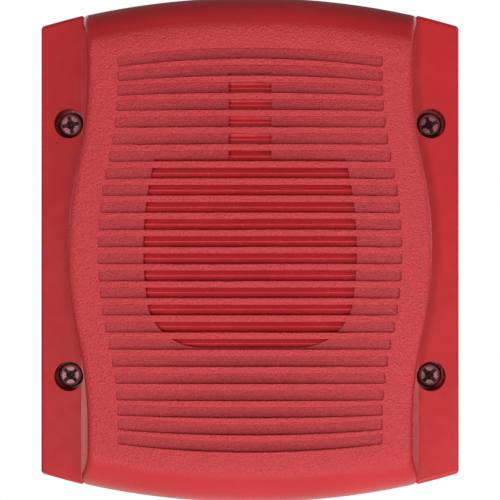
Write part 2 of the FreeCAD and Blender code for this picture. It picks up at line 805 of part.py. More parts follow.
def surround():
    """Half roll between the cone's edge and the basket's ledge."""
    thick = 0.4
    y = LEDGE_Y - 0.05
    start_r = CONE_R + 0.05
    end_r = LEDGE_INNER_R - 0.2
    middle_r = (start_r + end_r) / 2
    roll = (end_r - start_r) / 2
    edges = [
        Part.Arc(V(start_r, y, 0), V(middle_r, y + roll, 0), V(end_r, y, 0)).toShape(),
        Part.Arc(
            V(start_r + thick, y, 0),
            V(middle_r, y + roll - thick, 0),
            V(end_r - thick, y, 0),
        ).toShape(),
    ]
    lip = [
        V(end_r, y, 0),
        V(LEDGE_OUTER_R - 0.3, y, 0),
        V(LEDGE_OUTER_R - 0.3, y - thick, 0),
        V(end_r - thick, y - thick, 0),
        V(end_r - thick, y, 0),
    ]
    for a, b in zip(lip, lip[1:]):
        edges.append(Part.LineSegment(a, b).toShape())
    edges.append(Part.LineSegment(V(start_r, y, 0), V(start_r + thick, y, 0)).toShape())
    wire = Part.Wire(Part.__sortEdges__(edges))
    return Part.Face(wire).revolve(ORIGIN, Y_AXIS, 360)


def spider():
    return ring(21.2, FORMER_R + 0.3, -56.0, -55.55)


def dust_cap():
    """A shallow dome over the voice coil."""
    radius = (DUST_CAP_R ** 2 + DUST_CAP_RISE ** 2) / (2 * DUST_CAP_RISE)
    centre = V(0, DUST_CAP_Y - DUST_CAP_RISE + radius, 0)
    outer = Part.makeSphere(radius, centre)
    inner = Part.makeSphere(radius - 0.4, centre)
    front = rod(DUST_CAP_R + 2, DUST_CAP_Y, DUST_CAP_Y - 10)
    return outer.common(front).cut(inner)


def voice_coil_former():
    return ring(FORMER_R + 0.2, FORMER_R, -58.2, -47.8)


def voice_coil():
    return ring(FORMER_R + 0.7, FORMER_R + 0.2, -53.0, -48.0)


def driver_screws():
    screw = pan_screw(2.8, 2.0, SELF_TAPPER_R, 4.4 + 1.0, 0)
    screw.rotate(ORIGIN, X_AXIS, 180)
    screw.translate(V(0, FLANGE_BACK_Y + 1.0, 0))
    return grouped(screw, four_corners(CLAMP_POST, CLAMP_POST))


def clamp_washers():
    washer = ring(CLAMP_WASHER_R, SELF_TAPPER_R + 0.1, FLANGE_BACK_Y, FLANGE_BACK_Y + 1.0)
    return grouped(washer, four_corners(CLAMP_POST, CLAMP_POST))


def driver_terminal_strip():
    """An insulating strip on the basket's rim with two solder tabs."""
    strip = box(-9, 9, -64.4, -62.8, -41.6, -38.4)
    tabs = []
    for x in (-LEAD_X, LEAD_X):
        tabs.append(box(x - 1.4, x + 1.4, -62.8, -60.4, -39.7, -39.1))
    return joined([strip] + tabs)


def driver_leads():
    """Two insulated wires from the sounder's tabs to the circuit board."""
    start = (-60.3, -39.4)
    run_out = -53.0
    run_in = -45.0
    end = (BOARD_FRONT_Y, -42.5)
    bend = 2.2
    leads = []
    for x in (-LEAD_X, LEAD_X):
        route = [V(x, start[0], start[1]), V(x, run_out, start[1])]
        route += [V(x, run_in, end[1]), V(x, end[0], end[1])]
        leads.append(bent_tube(route, LEAD_R, bend))
    return Part.makeCompound(leads)


def bent_tube(route, radius, cut_back):
    """A round tube along straight runs joined by tangent arcs."""
    edges = []
    here = route[0]
    for before, corner, after in zip(route, route[1:], route[2:]):
        toward = (corner - before).normalize()
        away = (after - corner).normalize()
        enter = corner - toward * cut_back
        leave = corner + away * cut_back
        turn = toward.getAngle(away)
        bend_r = cut_back / math.tan(turn / 2)
        inward = (away - toward).normalize()
        centre = corner + inward * (bend_r / math.cos(turn / 2))
        middle = centre - inward * bend_r
        edges.append(Part.LineSegment(here, enter).toShape())
        edges.append(Part.Arc(enter, middle, leave).toShape())
        here = leave
    edges.append(Part.LineSegment(here, route[-1]).toShape())
    start_circle = Part.Circle(route[0], (route[1] - route[0]), radius).toShape()
    return Part.Wire(edges).makePipeShell([Part.Wire([start_circle])], True, True)


# Chassis and electronics

def rear_chassis():
    w = CHASSIS_HALF_W
    h = CHASSIS_HALF_H
    plate = box(-w, w, POST_END_Y, CHASSIS_BACK_Y, -h, h)
    plate = plate.makeFillet(6.0, upright_edges(plate))
    rim = box(-w, w, POST_END_Y, CHASSIS_BACK_Y + 2.5, -h, h)
    rim = rim.makeFillet(6.0, upright_edges(rim))
    hollow = box(-w + 1.6, w - 1.6, CHASSIS_BACK_Y - 3, 0, -h + 1.6, h - 1.6)
    hollow = hollow.makeFillet(4.4, upright_edges(hollow))
    pieces = [plate, rim.cut(hollow)]
    for x, z in four_corners(BOARD_X, BOARD_Z):
        pieces.append(rod(STANDOFF_R, CHASSIS_BACK_Y - 1, BOARD_FRONT_Y, x, z))
    chassis = joined(pieces)
    cuts = []
    for x, z in four_corners(BOARD_X, BOARD_Z):
        cuts.append(rod(PILOT_R, POST_END_Y + 0.6, BOARD_FRONT_Y + 1, x, z))
    for x, z in four_corners(POST_X, POST_Z):
        cuts.append(rod(1.6, POST_END_Y - 1, CHASSIS_BACK_Y + 1, x, z))
    cuts.append(box(-8, 8, POST_END_Y - 1, CHASSIS_BACK_Y + 1, -46, -38.5))
    for side in (-1, 1):
        for row in range(4):
            z = -4.5 + 3.0 * row
            left = side * VENT_X - VENT_HALF_W
            right = side * VENT_X + VENT_HALF_W
            cuts.append(box(left, right, POST_END_Y - 1, CHASSIS_BACK_Y + 1, z, z + 1.4))
    return chassis.cut(Part.makeCompound(cuts))


def rear_facing(screw, seat_y, places):
    """Screws whose heads face the wall, grouped at their places."""
    screw.rotate(ORIGIN, X_AXIS, 180)
    screw.translate(V(0, seat_y, 0))
    return grouped(screw, places)


def chassis_screws():
    screw = pan_screw(2.8, 2.0, SELF_TAPPER_R, 10.0, 0)
    return rear_facing(screw, CHASSIS_BACK_Y, four_corners(POST_X, POST_Z))


def board_screws():
    screw = pan_screw(2.6, 1.8, SELF_TAPPER_R, 5.4, 0)
    return rear_facing(screw, BOARD_BACK_Y, four_corners(BOARD_X, BOARD_Z))


def circuit_board():
    w = BOARD_HALF_W
    h = BOARD_HALF_H
    board = box(-w, w, BOARD_FRONT_Y, BOARD_BACK_Y, -h, h)
    board = board.makeFillet(2.0, upright_edges(board))
    holes = []
    for x, z in four_corners(BOARD_X, BOARD_Z):
        holes.append(rod(1.6, BOARD_FRONT_Y - 1, BOARD_BACK_Y + 1, x, z))
    return board.cut(Part.makeCompound(holes))


def terminal_places():
    return [(-15 + 10 * step, TERMINAL_Z + 2.0) for step in range(4)]


def terminal_block():
    body = box(-20, 20, BOARD_BACK_Y, TERMINAL_BACK_Y, TERMINAL_Z - 6, TERMINAL_Z + 6)
    edges = []
    for edge in body.Edges:
        middle = edge.CenterOfMass
        if abs(middle.y - TERMINAL_BACK_Y) < 0.01:
            edges.append(edge)
    body = body.makeChamfer(0.6, edges)
    cuts = []
    for x, z in terminal_places():
        cuts.append(rod(2.5, TERMINAL_BACK_Y + 1, TERMINAL_BACK_Y - 4.4, x, z))
        cuts.append(box(x - 1.9, x + 1.9, -27.6, -24.0, TERMINAL_Z - 7, TERMINAL_Z + 1))
    return body.cut(Part.makeCompound(cuts))


def terminal_screws():
    screw = rod(2.3, TERMINAL_BACK_Y - 4.4, TERMINAL_BACK_Y - 1.6)
    slot = box(-3, 3, TERMINAL_BACK_Y - 2.6, TERMINAL_BACK_Y, -0.4, 0.4)
    return grouped(screw.cut(slot), terminal_places())


def capacitors():
    can = rod(5.0, BOARD_BACK_Y, BOARD_BACK_Y + 13.5)
    top = [e for e in can.Edges if abs(e.CenterOfMass.y - BOARD_BACK_Y - 13.5) < 0.01]
    can = can.makeFillet(0.8, [e for e in top if len(e.Vertexes) == 1])
    return grouped(can, [(-26, 17), (-26, 31)])


def inductor_core():
    low = rod(7.0, BOARD_BACK_Y, BOARD_BACK_Y + 1.6)
    stem = rod(3.4, BOARD_BACK_Y, BOARD_BACK_Y + 10)
    high = rod(7.0, BOARD_BACK_Y + 8.4, BOARD_BACK_Y + 10)
    return grouped(joined([low, stem, high]), [(26, 26)])


def inductor_winding():
    coil = ring(6.2, 3.5, BOARD_BACK_Y + 1.7, BOARD_BACK_Y + 8.3)
    return grouped(coil, [(26, 26)])


def control_chips():
    chips = []
    for x, z, half_w, half_h, tall in (
        (0, 14, 5.0, 5.0, 1.5),
        (0, 30, 3.2, 2.6, 1.3),
        (-12, 30, 2.0, 1.5, 1.2),
        (12, 30, 2.0, 1.5, 1.2),
    ):
        top = BOARD_BACK_Y + tall
        chips.append(box(x - half_w, x + half_w, BOARD_BACK_Y, top, z - half_h, z + half_h))
    return Part.makeCompound(chips)


def selector_housing(place, half, recess_r):
    x, z = place
    back = BOARD_BACK_Y + 6.0
    body = box(x - half, x + half, BOARD_BACK_Y, back, z - half, z + half)
    body = body.makeFillet(1.0, upright_edges(body))
    recess = rod(recess_r, back - 1.8, back + 1, x, z)
    bore = rod(1.6, back - 4.5, back + 1, x, z)
    return body.cut(joined([recess, bore]))


def selector_rotor(place, radius):
    """A slotted knob whose notch points to the chosen position."""
    x, z = place
    back = BOARD_BACK_Y + 6.0
    disc = rod(radius, back - 1.7, back + 0.8)
    stem = rod(1.55, back - 4.2, back - 1.6)
    rotor = joined([disc, stem])
    slot = box(-radius * 0.72, radius * 0.72, back - 0.6, back + 2, -0.6, 0.6)
    notch = box(-0.6, 0.6, back - 0.2, back + 2, radius - 1.6, radius + 1)
    rotor = rotor.cut(slot).cut(notch)
    rotor.translate(V(x, 0, z))
    return rotor


NODES = {
    "back_box": back_box,
    "threaded_inserts": threaded_inserts,
    "cover_gasket": cover_gasket,
    "conduit_plug": conduit_plug,
    "conduit_plug_seal": conduit_plug_seal,
    "ground_screw": ground_screw,
    "front_cover": front_cover,
    "louvre_insert": louvre_insert,
    "sealing_washers": sealing_washers,
    "driver_gasket": driver_gasket,
    "driver_basket": driver_basket,
    "driver_screws": driver_screws,
    "clamp_washers": clamp_washers,
    "top_plate": top_plate,
    "magnet": magnet,
    "pole_yoke": pole_yoke,
    "cone": cone,
    "surround": surround,
    "spider": spider,
    "dust_cap": dust_cap,
    "voice_coil_former": voice_coil_former,
    "voice_coil": voice_coil,
    "driver_terminal_strip": driver_terminal_strip,
    "driver_leads": driver_leads,
    "rear_chassis": rear_chassis,
    "chassis_screws": chassis_screws,
    "circuit_board": circuit_board,
    "board_screws": board_screws,
    "terminal_block": terminal_block,
    "terminal_screws": terminal_screws,
    "capacitors": capacitors,
    "inductor_core": inductor_core,
    "inductor_winding": inductor_winding,
    "control_chips": control_chips,
}


def main():
    os.makedirs("parts", exist_ok=True)
    shapes = {name: make() for name, make in NODES.items()}
    for name, (side, level, turn) in SCREWS.items():
        shapes[name] = cover_screw(side, level, turn)
    shapes["tone_selector_housing"] = selector_housing(TONE_SELECTOR, 7.0, TONE_RECESS_R)
    shapes["tone_selector_rotor"] = selector_rotor(
        TONE_SELECTOR, TONE_RECESS_R - SELECTOR_CLEARANCE
    )
    shapes["volume_selector_housing"] = selector_housing(VOLUME_SELECTOR, 5.5, VOLUME_RECESS_R)
    shapes["volume_selector_rotor"] = selector_rotor(
        VOLUME_SELECTOR, VOLUME_RECESS_R - SELECTOR_CLEARANCE
    )
    for name, shape in shapes.items():
        shape.exportStep("parts/" + name + ".step")
        print(name, shape.isValid(), len(shape.Solids), round(shape.Volume, 1))


main()
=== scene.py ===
import math
import random

import bmesh
import bpy
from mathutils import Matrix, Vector


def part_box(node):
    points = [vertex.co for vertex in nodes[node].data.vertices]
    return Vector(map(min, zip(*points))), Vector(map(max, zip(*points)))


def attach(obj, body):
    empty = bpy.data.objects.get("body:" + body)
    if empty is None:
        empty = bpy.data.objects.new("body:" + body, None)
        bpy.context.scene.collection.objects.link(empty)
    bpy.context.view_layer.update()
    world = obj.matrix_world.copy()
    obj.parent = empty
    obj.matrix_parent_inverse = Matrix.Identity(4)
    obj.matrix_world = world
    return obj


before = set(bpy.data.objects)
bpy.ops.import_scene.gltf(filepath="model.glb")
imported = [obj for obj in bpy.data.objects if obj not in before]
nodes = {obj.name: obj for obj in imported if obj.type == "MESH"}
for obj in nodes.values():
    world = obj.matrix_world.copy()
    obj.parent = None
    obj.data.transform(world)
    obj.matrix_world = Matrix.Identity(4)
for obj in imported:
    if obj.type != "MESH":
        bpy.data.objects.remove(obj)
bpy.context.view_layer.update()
MM = 0.001
random.seed(11)


# ---------------------------------------------------------------- materials

class Nodes:
    """Builds one material's node tree in a few short calls."""

    def __init__(self, name):
        self.material = bpy.data.materials.new(name)
        self.material.use_nodes = True
        self.tree = self.material.node_tree
        self.shader = self.tree.nodes["Principled BSDF"]
        self.coords = self.tree.nodes.new("ShaderNodeTexCoord").outputs["Object"]

    def add(self, kind, **settings):
        node = self.tree.nodes.new(kind)
        for key, value in settings.items():
            setattr(node, key, value)
        return node

    def link(self, source, target):
        self.tree.links.new(source, target)

    def stretched(self, scale):
        mapping = self.add("ShaderNodeMapping")
        mapping.inputs["Scale"].default_value = scale
        self.link(self.coords, mapping.inputs["Vector"])
        return mapping.outputs["Vector"]

    def noise(self, scale, detail=3.0, rough=0.5, vector=None):
        node = self.add("ShaderNodeTexNoise")
        node.inputs["Scale"].default_value = scale
        node.inputs["Detail"].default_value = detail
        node.inputs["Roughness"].default_value = rough
        self.link(vector or self.coords, node.inputs["Vector"])
        return node.outputs["Fac"]

    def cells(self, scale, vector=None, feature="F1"):
        node = self.add("ShaderNodeTexVoronoi", feature=feature)
        node.inputs["Scale"].default_value = scale
        self.link(vector or self.coords, node.inputs["Vector"])
        return node.outputs["Distance"]

    def math(self, operation, a, b=None, c=None):
        node = self.add("ShaderNodeMath", operation=operation)
        for socket, value in zip(node.inputs, (a, b, c)):
            if value is None:
                continue
            if isinstance(value, (int, float)):
                socket.default_value = value
            else:
                self.link(value, socket)
        return node.outputs[0]

    def remap(self, value, low, high, to_low, to_high):
        node = self.add("ShaderNodeMapRange", clamp=True)
        for index, number in enumerate((low, high, to_low, to_high)):
            node.inputs[index + 1].default_value = number
        self.link(value, node.inputs[0])
        return node.outputs[0]

    def blend(self, factor, a, b):
        node = self.add("ShaderNodeMix", data_type="RGBA")
        self.link(factor, node.inputs[0])
        for socket, value in ((node.inputs[6], a), (node.inputs[7], b)):
            if isinstance(value, tuple):
                socket.default_value = (*value, 1.0)
            else:
                self.link(value, socket)
        return node.outputs[2]

    def bump(self, height, depth, under=None):
        node = self.add("ShaderNodeBump")
        node.inputs["Distance"].default_value = depth
        node.inputs["Strength"].default_value = 1.0
        self.link(height, node.inputs["Height"])
        if under is not None:
            self.link(under, node.inputs["Normal"])
        return node.outputs["Normal"]


def shade(colour, factor):
    return tuple(min(1.0, channel * factor) for channel in colour)


def surface(name, colour, rough, metal=0.0, spread=0.12, grain=(900, 0.012), stretch=None,
            rough_spread=0.06, specular=0.5, coat=0.0, blotch=60):
    """Colour that drifts, roughness that varies and a fine grain, in object space."""
    n = Nodes(name)
    vector = n.stretched(stretch) if stretch else n.coords
    drift = n.remap(n.noise(blotch, 4.0), 0.3, 0.7, 0.0, 1.0)
    n.link(n.blend(drift, shade(colour, 1 - spread), shade(colour, 1 + spread)),
           n.shader.inputs["Base Color"])
    fine = n.noise(grain[0], 2.0, 0.6, vector)
    n.link(n.remap(fine, 0.3, 0.7, rough - rough_spread, rough + rough_spread),
           n.shader.inputs["Roughness"])
    n.link(n.bump(fine, grain[1] * MM), n.shader.inputs["Normal"])
    n.shader.inputs["Metallic"].default_value = metal
    n.shader.inputs["Specular IOR Level"].default_value = specular
    n.shader.inputs["Coat Weight"].default_value = coat
    return n.material


RED = (0.47, 0.020, 0.024)
# RED_GRAIN_SHEEN: the spark grain's own tone, made lighter and pinker as painted sheen
RED_GRAIN_SHEEN = (0.50, 0.035, 0.042)
# RED_LOUVRE_BRIGHTENED: the red made brighter for the louvres, painted light against the shade
# inside the grooves
RED_LOUVRE_BRIGHTENED = (0.66, 0.034, 0.044)
# RED_FLOOR_SHADED: the red darkened as painted shade on the groove floors
RED_FLOOR_SHADED = (0.40, 0.029, 0.037)
# SCREW_TINT_AND_SHEEN: the dark coating lightened and made pinker as painted sheen; SCREW_SHADOW
# is painted shade
SCREW_TINT_AND_SHEEN = (0.32, 0.10, 0.115)
SCREW_SHADOW = (0.060, 0.008, 0.010)

# The cover's crowned face and where its grooves stop, in from the cover's own edges
CROWN_R = 400.0 * MM
GROOVE_SIDE_MARGIN = 17.0 * MM
GROOVE_END_MARGIN = 14.2 * MM
GRAIN_DEPTH = 0.26 * MM


def cover_material():
    """Red moulding: satin roll-over and flanges, spark grain on the raised face and in the
    grooves. Depth is measured below the crowned face, so the grain follows its curve. The grain
    is lighter and pinker than the satin red, with bright specks: its own tone under painted
    sheen and painted highlights. Groove floors more than 0.3 mm down darken as painted shade.
    """
    n = Nodes("cover_red_moulded")
    axes = n.add("ShaderNodeSeparateXYZ")
    n.link(n.coords, axes.inputs[0])
    x, y, z = axes.outputs
    cover_low, cover_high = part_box("front_cover")
    grooves_x = cover_high.x - GROOVE_SIDE_MARGIN
    grooves_z = cover_high.z - GROOVE_END_MARGIN
    sunk = n.math("SUBTRACT", y, cover_low.y)
    sunk = n.math("SUBTRACT", sunk, n.math("DIVIDE", n.math("MULTIPLY", x, x), 2 * CROWN_R))
    wander = n.math("MULTIPLY", n.noise(700, 1.0), 0.10 * MM)
    textured = n.remap(n.math("ADD", sunk, wander), 0.45 * MM, 1.15 * MM, 1.0, 0.0)
    coarse = n.cells(1500)
    fine = n.noise(2600, 3.0, 0.65)
    pits = n.math("ADD", n.math("MULTIPLY", coarse, 0.7), n.math("MULTIPLY", fine, 0.6))
    normal = n.add("ShaderNodeSeparateXYZ")
    n.link(n.add("ShaderNodeNewGeometry").outputs["Normal"], normal.inputs[0])
    facing = n.remap(n.math("ABSOLUTE", normal.outputs[2]), 0.10, 0.25, 1.0, 0.0)
    floors = n.math("MULTIPLY",
                    n.remap(n.math("ABSOLUTE", z), grooves_z, grooves_z + 0.4 * MM, 1.0, 0.0),
                    n.remap(n.math("ABSOLUTE", x), grooves_x, grooves_x + 0.3 * MM, 1.0, 0.0))
    floors = n.math("MULTIPLY", floors, facing)
    floors = n.math("MULTIPLY", floors, n.remap(sunk, 2.6 * MM, 2.8 * MM, 1.0, 0.0))
    textured = n.math("MAXIMUM", textured, floors)
    spark = n.math("MULTIPLY", pits, textured)
    drift = n.remap(n.noise(45, 4.0), 0.3, 0.7, 0.0, 1.0)
    base = n.blend(drift, shade(RED, 0.93), shade(RED, 1.05))
    # Painted highlights: bright specks over the grain, whose pinker tone is painted sheen
    grain_glints = n.remap(fine, 0.35, 0.7, 0.0, 1.0)
    grain_with_painted_light = n.blend(grain_glints, shade(RED_GRAIN_SHEEN, 0.74), shade(RED_GRAIN_SHEEN, 1.34))
    # Painted shade: groove floors more than 0.3 mm below the crowned face fade to the darker floor
    # red, fully so by 0.6 mm
    low = n.blend(grain_glints, shade(RED_FLOOR_SHADED, 0.74), shade(RED_FLOOR_SHADED, 1.34))
    floor_shade = n.math("MULTIPLY", n.remap(sunk, 0.30 * MM, 0.60 * MM, 0.0, 1.0), floors)
    grain_with_painted_light = n.blend(floor_shade, grain_with_painted_light, low)
    n.link(n.blend(textured, base, grain_with_painted_light), n.shader.inputs["Base Color"])
    satin = n.remap(n.noise(260, 3.0), 0.3, 0.7, 0.25, 0.31)
    rough = n.math("ADD", satin, n.math("MULTIPLY", textured, 0.27))
    n.link(rough, n.shader.inputs["Roughness"])
    skin = n.bump(n.noise(420, 2.0), 0.010 * MM)
    n.link(n.bump(spark, GRAIN_DEPTH, skin), n.shader.inputs["Normal"])
    n.shader.inputs["Specular IOR Level"].default_value = 0.28
    return n.material


def screw_material():
    """Dark red-black coating; its lighter, pinker head tint is partly painted sheen, with random
    tone over it, and the cross recess and rim get painted shade.
    """
    n = Nodes("screw_dark_coated")
    axes = n.add("ShaderNodeSeparateXYZ")
    n.link(n.coords, axes.inputs[0])
    x, y, z = axes.outputs
    low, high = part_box("cover_screw_tr")
    middle = (low + high) / 2
    across = n.math("SUBTRACT", n.math("ABSOLUTE", x), middle.x)
    up = n.math("SUBTRACT", n.math("ABSOLUTE", z), middle.z)
    radius = n.math("SQRT", n.math("ADD", n.math("MULTIPLY", across, across),
                                   n.math("MULTIPLY", up, up)))
    # Painted shade: the cross recess and the head's outer rim darken to SCREW_SHADOW
    sunk = n.remap(y, low.y + 0.02 * MM, low.y + 0.20 * MM, 0.0, 1.0)
    recess = n.math("MULTIPLY", sunk, n.remap(radius, 2.55 * MM, 2.70 * MM, 1.0, 0.0))
    rim = n.remap(radius, 2.9 * MM, 3.45 * MM, 0.0, 0.8)
    wear = n.remap(n.noise(900, 4.0, 0.65), 0.35, 0.7, 0.0, 1.0)
    crown = n.blend(wear, shade(SCREW_TINT_AND_SHEEN, 0.75), shade(SCREW_TINT_AND_SHEEN, 1.25))
    dark = n.math("MAXIMUM", recess, rim)
    n.link(n.blend(dark, crown, SCREW_SHADOW), n.shader.inputs["Base Color"])
    matt = n.math("MULTIPLY", recess, 0.4)
    n.link(n.math("ADD", n.remap(n.noise(1300), 0.3, 0.7, 0.30, 0.46), matt),
           n.shader.inputs["Roughness"])
    n.link(n.bump(n.noise(1500, 3.0), 0.02 * MM), n.shader.inputs["Normal"])
    n.shader.inputs["Metallic"].default_value = 0.15
    return n.material


def board_material():
    """Green solder mask with faint tracks under it."""
    n = Nodes("board_solder_mask")
    brick = n.add("ShaderNodeTexVoronoi", distance="MANHATTAN", feature="DISTANCE_TO_EDGE")
    brick.inputs["Scale"].default_value = 190
    n.link(n.stretched((1.0, 0.0, 1.0)), brick.inputs["Vector"])
    track = n.remap(brick.outputs["Distance"], 0.035, 0.05, 1.0, 0.0)
    drift = n.remap(n.noise(80), 0.3, 0.7, 0.0, 1.0)
    plain = n.blend(drift, (0.008, 0.085, 0.035), (0.012, 0.11, 0.045))
    n.link(n.blend(track, plain, (0.03, 0.20, 0.075)), n.shader.inputs["Base Color"])
    n.link(n.remap(n.noise(500), 0.3, 0.7, 0.24, 0.36), n.shader.inputs["Roughness"])
    n.link(n.bump(track, 0.03 * MM), n.shader.inputs["Normal"])
    n.shader.inputs["Coat Weight"].default_value = 0.3
    return n.material


def weave_material(name, colour, bands):
    """A woven cloth, its threads crossing in the XZ plane."""
    n = Nodes(name)
    waves = []
    for direction in ("X", "Z"):
        wave = n.add("ShaderNodeTexWave", bands_direction=direction)
        wave.inputs["Scale"].default_value = bands
        wave.inputs["Distortion"].default_value = 0.4
        n.link(n.coords, wave.inputs["Vector"])
        waves.append(wave.outputs["Fac"])
    cross = n.math("MULTIPLY", waves[0], waves[1])
    n.link(n.blend(cross, shade(colour, 0.6), shade(colour, 1.2)), n.shader.inputs["Base Color"])
    n.link(n.remap(n.noise(400), 0.3, 0.7, 0.75, 0.9), n.shader.inputs["Roughness"])
    n.link(n.bump(cross, 0.1 * MM), n.shader.inputs["Normal"])
    n.shader.inputs["Sheen Weight"].default_value = 0.2
    return n.material


def winding_material():
    """Enamelled copper wire laid in turns along the depth axis."""
    n = Nodes("copper_winding")
    wave = n.add("ShaderNodeTexWave", bands_direction="Y", wave_profile="SIN")
    wave.inputs["Scale"].default_value = 420
    n.link(n.coords, wave.inputs["Vector"])
    turns = wave.outputs["Fac"]
    # Painted shade between the turns and painted highlight along them: the bands go from dark to
    # bright copper
    n.link(n.blend(turns, (0.20, 0.055, 0.02), (0.62, 0.22, 0.085)), n.shader.inputs["Base Color"])
    n.link(n.remap(n.noise(600), 0.3, 0.7, 0.24, 0.36), n.shader.inputs["Roughness"])
    n.link(n.bump(turns, 0.12 * MM), n.shader.inputs["Normal"])
    n.shader.inputs["Metallic"].default_value = 0.9
    return n.material


TURNED = (1.0, 14.0, 1.0)
ROLLED = (1.0, 1.0, 18.0)
finishes = {
    "cover_red": cover_material(),
    # The louvres take the brightened red: painted light against the shade in the grooves
    "louvre_red": surface("louvre_red_gloss", RED_LOUVRE_BRIGHTENED, 0.24, spread=0.06, grain=(350, 0.010),
                          coat=0.15),
    "box_red": surface("box_red_satin", RED, 0.40, spread=0.07, grain=(700, 0.030)),
    "screw_dark": screw_material(),
    "seal_black": surface("seal_rubber", (0.018, 0.018, 0.019), 0.68, grain=(1200, 0.02)),
    "gasket_foam": surface("gasket_foam_cells", (0.05, 0.05, 0.052), 0.88, grain=(1700, 0.09)),
    "brass": surface("brass_turned", (0.62, 0.42, 0.16), 0.30, 1.0, 0.10, (900, 0.008), TURNED),
    "plug_grey": surface("plug_moulded", (0.17, 0.17, 0.175), 0.46, grain=(800, 0.025)),
    "ground_green": surface("ground_screw_green", (0.03, 0.20, 0.06), 0.34, 0.7,
                            grain=(900, 0.01)),
    "steel_zinc": surface("zinc_plated", (0.62, 0.62, 0.60), 0.30, 1.0, 0.10, (1200, 0.008),
                          rough_spread=0.09),
    "basket_steel": surface("basket_pressed", (0.30, 0.30, 0.31), 0.36, 0.9, 0.10, (700, 0.012),
                            ROLLED),
    "ferrite": surface("magnet_ferrite", (0.030, 0.030, 0.034), 0.62, 0.1, 0.30, (1500, 0.04)),
    "cone_film": surface("cone_moulded_film", (0.030, 0.028, 0.026), 0.42, spread=0.2,
                         grain=(500, 0.02)),
    "surround_rubber": surface("surround_rubber_roll", (0.016, 0.016, 0.017), 0.60,
                               grain=(900, 0.02)),
    "spider_cloth": weave_material("spider_woven", (0.50, 0.36, 0.14), 320),
    "former_foil": surface("former_foil_sheet", (0.70, 0.69, 0.67), 0.26, 1.0, 0.06,
                           (900, 0.01), TURNED),
    "copper_wire": winding_material(),
    "strip_fibre": surface("strip_fibre_board", (0.22, 0.10, 0.045), 0.62, spread=0.2,
                           grain=(1000, 0.03), stretch=(0.3, 1.0, 1.0)),
    "lead_red": surface("lead_insulation", (0.50, 0.025, 0.020), 0.36, grain=(700, 0.01)),
    "chassis_black": surface("chassis_moulded", (0.022, 0.022, 0.024), 0.48, spread=0.15,
                             grain=(900, 0.04)),
    "board_green": board_material(),
    "terminal_grey": surface("terminal_moulded", (0.20, 0.21, 0.22), 0.42, grain=(800, 0.02)),
    "can_black": surface("can_sleeve", (0.020, 0.021, 0.025), 0.28, grain=(500, 0.01), coat=0.2),
    "chip_black": surface("chip_epoxy", (0.018, 0.018, 0.018), 0.55, grain=(2200, 0.03)),
    "selector_grey": surface("selector_moulded", (0.24, 0.24, 0.25), 0.44, grain=(900, 0.02)),
    "selector_white": surface("selector_knob", (0.72, 0.71, 0.67), 0.38, spread=0.05,
                              grain=(900, 0.015)),
}
for name, obj in nodes.items():
    for slot in obj.material_slots:
        slot.material = finishes[slot.material.name.split(".")[0]]

solder = surface("solder_bright", (0.70, 0.70, 0.72), 0.22, 1.0, 0.08, (900, 0.01))
ink = surface("board_ink_white", (0.78, 0.78, 0.74), 0.60, spread=0.05, grain=(900, 0.01))


# ---------------------------------------------------------------- mesh details

def piece(name, mesh, body, material, smooth=True):
    obj = bpy.data.objects.new(name, mesh)
    bpy.context.scene.collection.objects.link(obj)
    mesh.materials.append(material)
    for polygon in mesh.polygons:
        polygon.use_smooth = smooth
    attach(obj, body)
    return obj


def finished(build, name):
    bmesh.ops.recalc_face_normals(build, faces=build.faces)
    mesh = bpy.data.meshes.new(name)
    build.to_mesh(mesh)
    build.free()
    return mesh


def helix_mesh(name, centre, axis, start, length, pitch, root, crest, flank):
    """A closed thread ridge wound about the Y or Z axis, tapering away at both ends.

    root and crest are the radii of its foot and its tip, and flank is half its foot's width.
    """
    build = bmesh.new()
    per_turn = 28
    run_out = per_turn * 0.4
    steps = int(length / pitch * per_turn)
    rows = []
    for step in range(steps + 1):
        angle = 2 * math.pi * step / per_turn
        along = start + length * step / steps
        ends = min(1.0, step / run_out, (steps - step) / run_out)
        tip = root + (crest - root) * max(ends, 0.02)
        row = []
        for radius, offset in ((root, -flank), (tip, -flank * 0.2), (tip, flank * 0.2),
                               (root, flank)):
            a = radius * math.cos(angle)
            b = radius * math.sin(angle)
            if axis == "Y":
                point = (centre[0] + a, along + offset, centre[2] + b)
            else:
                point = (centre[0] + a, centre[1] + b, along + offset)
            row.append(build.verts.new(point))
        rows.append(row)
    for one, two in zip(rows, rows[1:]):
        for i in range(4):
            j = (i + 1) % 4
            build.faces.new((one[i], one[j], two[j], two[i]))
    build.faces.new(rows[0])
    build.faces.new(rows[-1])
    return finished(build, name)


# Threads on the cover screws, ending short of each shank's tip
SCREW_THREAD_START = 7.4 * MM
SCREW_THREAD_LENGTH = 6.6 * MM
SCREW_THREAD_PITCH = 0.70 * MM
SCREW_ROOT_R = 1.43 * MM
SCREW_CREST_R = 1.66 * MM
SCREW_FLANK = 0.30 * MM

for corner in ("tl", "tr", "bl", "br"):
    screw = "cover_screw_" + corner
    low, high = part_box(screw)
    middle = (low + high) / 2
    mesh = helix_mesh("thread_" + corner, middle, "Y", high.y - SCREW_THREAD_START,
                      SCREW_THREAD_LENGTH, SCREW_THREAD_PITCH, SCREW_ROOT_R, SCREW_CREST_R,
                      SCREW_FLANK)
    piece("screw_thread_" + corner, mesh, screw, finishes["screw_dark"])

# Thread inside the open conduit entry at the bottom, on the axis of the plug in the top one
CONDUIT_THREAD_INSET = 3.6 * MM
CONDUIT_THREAD_LENGTH = 9.0 * MM
CONDUIT_THREAD_PITCH = 1.81 * MM
CONDUIT_ROOT_R = 12.70 * MM
CONDUIT_CREST_R = 11.85 * MM
CONDUIT_FLANK = 0.85 * MM

